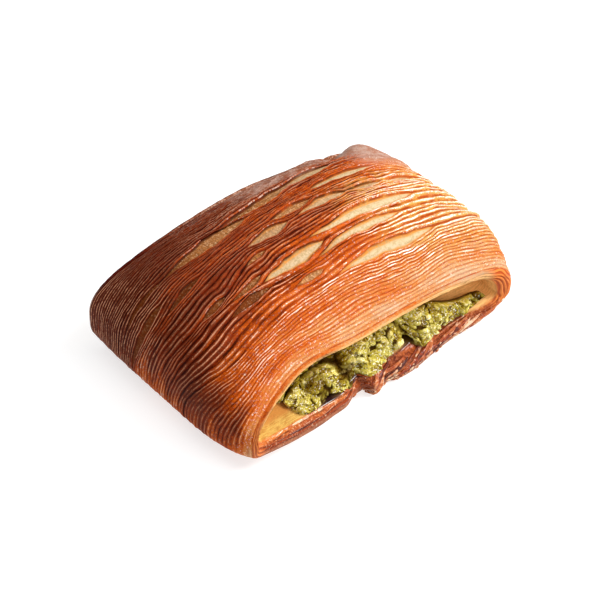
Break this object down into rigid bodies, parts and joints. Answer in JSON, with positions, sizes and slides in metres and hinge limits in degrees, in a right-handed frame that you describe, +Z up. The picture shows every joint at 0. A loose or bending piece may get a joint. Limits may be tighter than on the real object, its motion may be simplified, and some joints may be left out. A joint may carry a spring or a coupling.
{
  "type": "savoury danish pastry",
  "caption": "Pillow-shaped savoury danish: ridged, slit, egg-washed laminated dough wrapped round a chunky green pesto filling that shows in its open mouth.",
  "frame": {"origin": "on the resting plane, under the middle of the pastry's box", "axes": "+X along the mouth, to the right as the shown mouth is faced; +Y away from the shown mouth; +Z up"},
  "size_m": [0.131, 0.0842, 0.0552],
  "materials": {
    "crust": "baked laminated dough with an egg-wash gloss, mahogany to golden, cream where the slits open",
    "pesto": "coarse oily basil pesto, olive to yellow green"
  },
  "bodies": {
    "root": {"dough": "crust", "pesto_filling": "pesto"}
  },
  "joints": []
}
